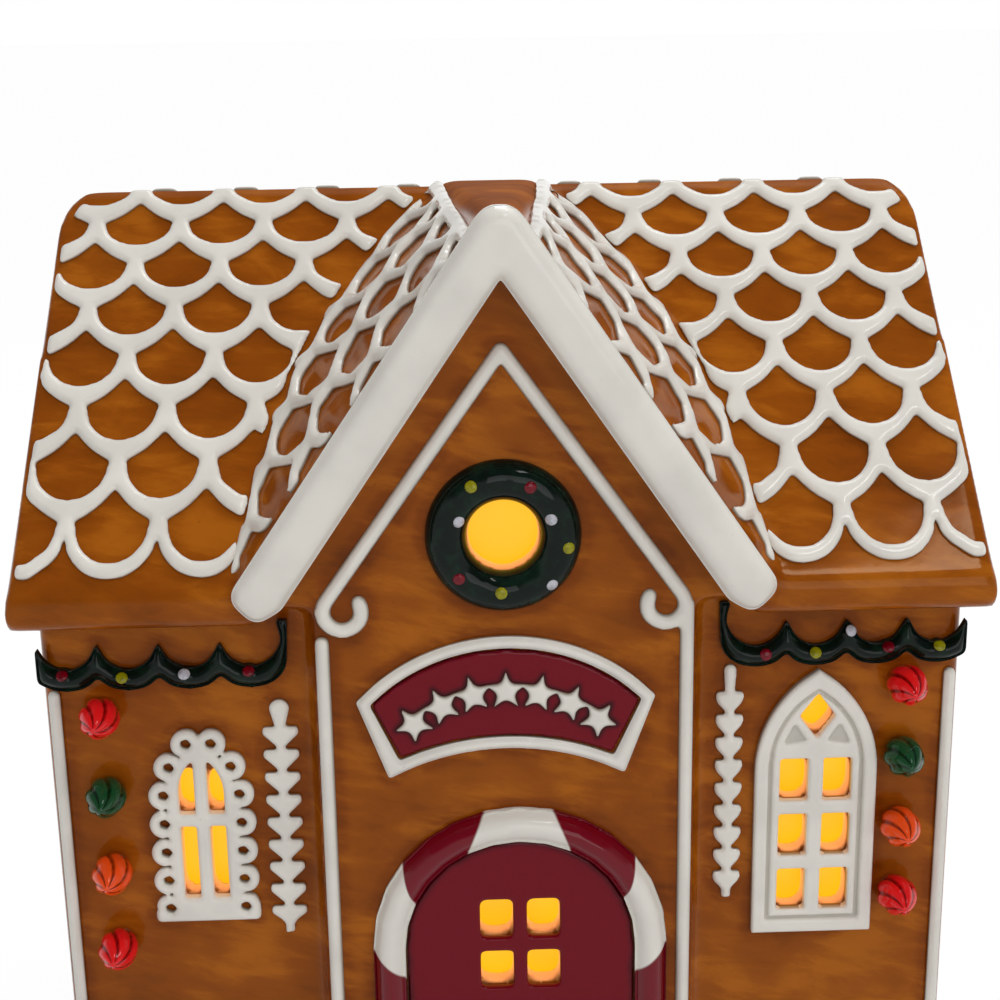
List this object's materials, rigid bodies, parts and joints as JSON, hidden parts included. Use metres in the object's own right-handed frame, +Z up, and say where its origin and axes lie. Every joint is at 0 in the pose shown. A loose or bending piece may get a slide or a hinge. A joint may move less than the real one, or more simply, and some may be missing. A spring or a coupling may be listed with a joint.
{
  "type": "light-up gingerbread shop",
  "caption": "Hollow glazed gingerbread shop with icing relief, a gabled bay, lit windows, plug-in bulbs and a battery base.",
  "frame": {"origin": "middle of the bounding box on the table, under the soles of the feet", "axes": "+Z up, front with the gabled bay towards -Y, ridge along X"},
  "size_m": [0.203, 0.1564, 0.2296],
  "materials": {
    "caramel_glaze": "gloss, brushed caramel glaze",
    "icing_glaze": "gloss white glaze",
    "pine_glaze": "gloss dark green glaze",
    "crimson_glaze": "gloss crimson glaze",
    "candy_glaze": "gloss white glaze with crimson stripes",
    "red_bulb": "clear red",
    "green_bulb": "clear green",
    "orange_bulb": "clear orange",
    "amber_film": "translucent amber film, lit from behind",
    "base_plastic": "satin off-white",
    "switch_plastic": "satin black",
    "screw_steel": "bright",
    "spring_steel": "nickel-plated",
    "cell_jacket": "printed sleeve, plain",
    "led_board": "white solder mask",
    "led_lens": "diffusing, warm white",
    "red_lead": "insulation",
    "black_lead": "insulation",
    "foot_rubber": "clear silicone pad"
  },
  "bodies": {
    "house": {"house_shell": "caramel_glaze", "roof_icing_front_left": "icing_glaze", "roof_icing_front_right": "icing_glaze", "roof_icing_back": "icing_glaze", "gable_roof_icing_left": "icing_glaze", "gable_roof_icing_right": "icing_glaze", "bargeboard_icing": "icing_glaze", "gable_icing": "icing_glaze", "bay_icing_left": "icing_glaze", "corner_icing_left": "icing_glaze", "corner_icing_right": "icing_glaze", "sign_border": "icing_glaze", "sign_stars": "icing_glaze", "lace_window_frame": "icing_glaze", "gothic_window_frame": "icing_glaze", "side_window_frame_left": "icing_glaze", "side_window_frame_right": "icing_glaze", "vine_left": "icing_glaze", "vine_right": "icing_glaze", "wreath": "pine_glaze", "garland_left": "pine_glaze", "garland_right": "pine_glaze", "sign_panel": "crimson_glaze", "door_panel": "crimson_glaze", "candy_arch": "candy_glaze", "bulb_left_1": "red_bulb", "bulb_left_2": "green_bulb", "bulb_left_3": "orange_bulb", "bulb_left_4": "red_bulb", "bulb_right_1": "red_bulb", "bulb_right_2": "green_bulb", "bulb_right_3": "orange_bulb", "bulb_right_4": "red_bulb", "film_lace_window": "amber_film", "film_gothic_window": "amber_film", "film_wreath": "amber_film", "film_door": "amber_film", "film_side_left": "amber_film", "film_side_right": "amber_film", "base_tray": "base_plastic", "light_post": "base_plastic", "cell_1": "cell_jacket", "cell_2": "cell_jacket", "cell_3": "cell_jacket", "contact_positive": "spring_steel", "contact_negative": "spring_steel", "contact_bridge_left": "spring_steel", "contact_bridge_right": "spring_steel", "switch_body": "switch_plastic", "led_board": "led_board", "led_lens": "led_lens", "lead_red": "red_lead", "lead_black": "black_lead", "foot_front_left": "foot_rubber", "foot_front_right": "foot_rubber", "foot_back_left": "foot_rubber", "foot_back_right": "foot_rubber"},
    "battery_door": {"battery_door": "base_plastic"},
    "door_screw": {"door_screw": "screw_steel"},
    "switch_knob": {"switch_knob": "switch_plastic"}
  },
  "joints": [
    {"name": "battery_door_hinge", "type": "hinge", "parent": "house", "child": "battery_door", "pos_m": [0, 0.0275, 0.0057], "axis": [1, 0, 0], "range_deg": [0, 100]},
    {"name": "door_screw_slide", "type": "slide", "parent": "battery_door", "child": "door_screw", "axis": [0, 0, -1], "range_m": [0, 0.003]},
    {"name": "power_switch", "type": "slide", "parent": "house", "child": "switch_knob", "axis": [1, 0, 0], "range_m": [0, 0.004]}
  ]
}
